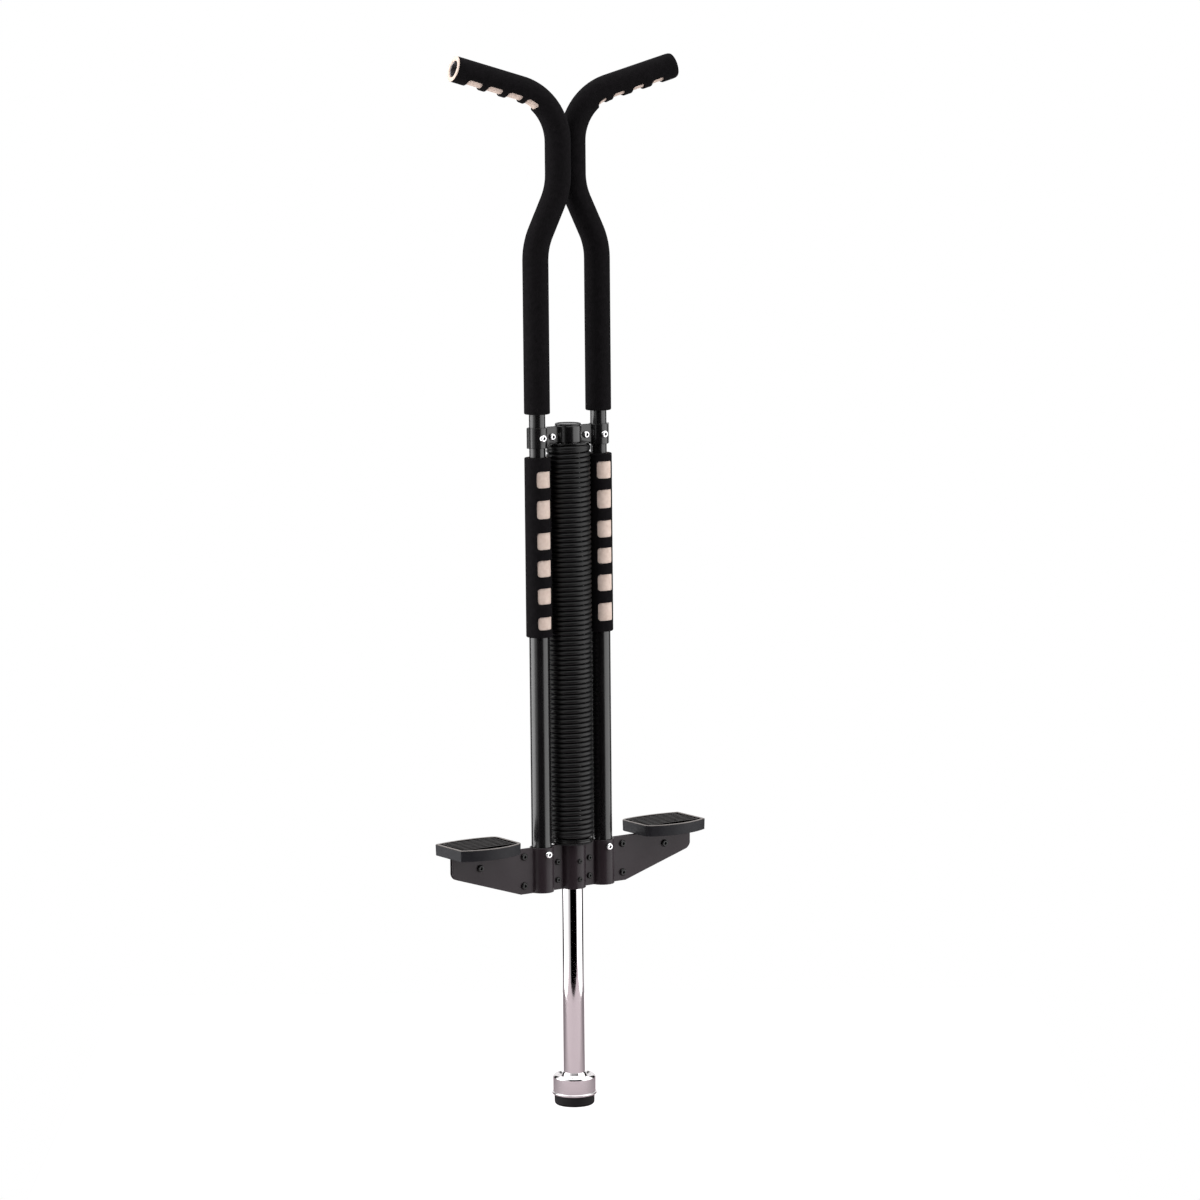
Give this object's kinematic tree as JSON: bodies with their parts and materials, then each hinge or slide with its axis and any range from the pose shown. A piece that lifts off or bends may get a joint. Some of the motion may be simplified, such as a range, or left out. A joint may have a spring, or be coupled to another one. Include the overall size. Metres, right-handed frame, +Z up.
{
  "type": "pogo stick",
  "caption": "Children's spring pogo stick: a chromed leg slides in a two-tube frame against a coil spring, with pedals, foam grips and bent handles.",
  "frame": {"origin": "middle of the rubber tip's flat underside, where the stick stands on the ground", "axes": "+Z up along the leg, +X along the pedals towards the right pedal, -Y towards the front where the screw heads are"},
  "size_m": [0.29, 0.0603, 1.0307],
  "materials": {
    "gloss_black_paint": "gloss",
    "satin_black_paint": "satin",
    "black_foam": "matte closed-cell foam",
    "beige_foam": "matte closed-cell foam",
    "black_nylon": "satin",
    "bright_steel": "zinc plated",
    "black_steel": "blackened steel",
    "pedal_plastic": "fine moulded grain",
    "tread_rubber": "matte ribbed",
    "chrome_plate": "polished",
    "black_rubber": "matte",
    "spring_steel": "semi-gloss black"
  },
  "bodies": {
    "leg": {"leg_tube": "chrome_plate", "leg_cap": "black_nylon", "foot_cup": "chrome_plate", "end_disc": "bright_steel", "rubber_tip": "black_rubber", "spring_seat": "black_steel", "seat_pin": "bright_steel"},
    "spring_carrier": {"thrust_washer": "black_steel", "coil_spring": "spring_steel"},
    "frame": {"handle_tube_left": "gloss_black_paint", "handle_tube_right": "gloss_black_paint", "upper_foam_left": "black_foam", "upper_foam_right": "black_foam", "upper_liner_left": "beige_foam", "upper_liner_right": "beige_foam", "lower_tube_left": "gloss_black_paint", "lower_tube_right": "gloss_black_paint", "lower_foam_left": "black_foam", "lower_foam_right": "black_foam", "lower_liner_left": "beige_foam", "lower_liner_right": "beige_foam", "collar_front": "gloss_black_paint", "collar_back": "gloss_black_paint", "top_bush": "black_nylon", "collar_tube_left_screw": "bright_steel", "collar_tube_left_nut": "bright_steel", "collar_flat_left_screw": "bright_steel", "collar_flat_left_nut": "bright_steel", "collar_flat_right_screw": "bright_steel", "collar_flat_right_nut": "bright_steel", "collar_tube_right_screw": "bright_steel", "collar_tube_right_nut": "bright_steel", "bracket_front": "satin_black_paint", "bracket_back": "satin_black_paint", "bottom_bush": "black_nylon", "arm_rivet_1": "black_steel", "arm_rivet_2": "black_steel", "arm_rivet_3": "black_steel", "arm_rivet_4": "black_steel", "arm_rivet_5": "black_steel", "arm_rivet_6": "black_steel", "flat_rivet_1": "black_steel", "flat_rivet_2": "black_steel", "flat_rivet_3": "black_steel", "flat_rivet_4": "black_steel", "bush_pin_1": "black_steel", "bush_pin_2": "black_steel", "bracket_tube_left_screw": "bright_steel", "bracket_tube_left_nut": "bright_steel", "bracket_tube_right_screw": "bright_steel", "bracket_tube_right_nut": "bright_steel", "pedal_left": "pedal_plastic", "pedal_right": "pedal_plastic", "pedal_tread_left": "tread_rubber", "pedal_tread_right": "tread_rubber", "spring_top_washer": "black_steel", "rebound_washer": "black_rubber"}
  },
  "joints": [
    {"name": "leg_spin", "type": "hinge", "parent": "leg", "child": "spring_carrier", "pos_m": [0, 0, 0.2667], "axis": [0, 0, 1], "continuous": true},
    {"name": "frame_slide", "type": "slide", "parent": "spring_carrier", "child": "frame", "axis": [0, 0, -1], "range_m": [0, 0.065], "stiffness_N_per_m": 660, "springref_m": -0.12, "deforming": ["coil_spring"]}
  ]
}
